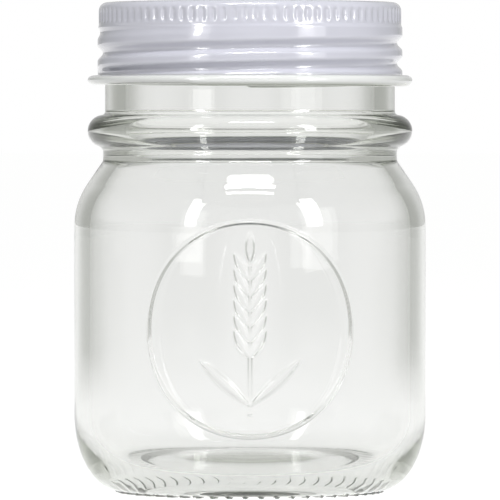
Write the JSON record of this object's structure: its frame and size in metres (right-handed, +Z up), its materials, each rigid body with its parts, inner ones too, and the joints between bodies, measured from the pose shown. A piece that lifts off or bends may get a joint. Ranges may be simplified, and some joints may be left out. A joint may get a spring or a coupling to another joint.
{
  "type": "sourdough starter jar",
  "caption": "Round clear glass jar with a neck bead and a raised roundel, closed by a white one-piece metal screw lid with a fluted band and a curled hem.",
  "frame": {"origin": "on the table, on the jar's axis, under the middle of its standing ring", "axes": "+Z up along the jar's axis; -Y is the front, where the roundel is; +X is to the right seen from the front"},
  "size_m": [0.0726, 0.073, 0.1011],
  "materials": {
    "clear_glass": "clear soda-lime glass with a faint grey-green edge, gloss",
    "lid_enamel": "gloss white enamel with a faint lavender cast on tinplate",
    "sealing_compound": "satin off-white compound"
  },
  "bodies": {
    "jar": {"glass_jar": "clear_glass"},
    "lid_carrier": {"lid_seal": "sealing_compound"},
    "lid": {"lid_shell": "lid_enamel"}
  },
  "joints": [
    {"name": "lid_lift", "type": "slide", "parent": "jar", "child": "lid_carrier", "axis": [0, 0, 1], "range_m": [0, 0.0191]},
    {"name": "lid_turn", "type": "hinge", "parent": "lid_carrier", "child": "lid", "pos_m": [0, 0, 0.09], "axis": [0, 0, 1], "range_deg": [0, 1620]}
  ],
  "couplings": [
    {"joint": "lid_lift", "follows": "lid_turn", "m_per_rad": 0.0006737}
  ]
}
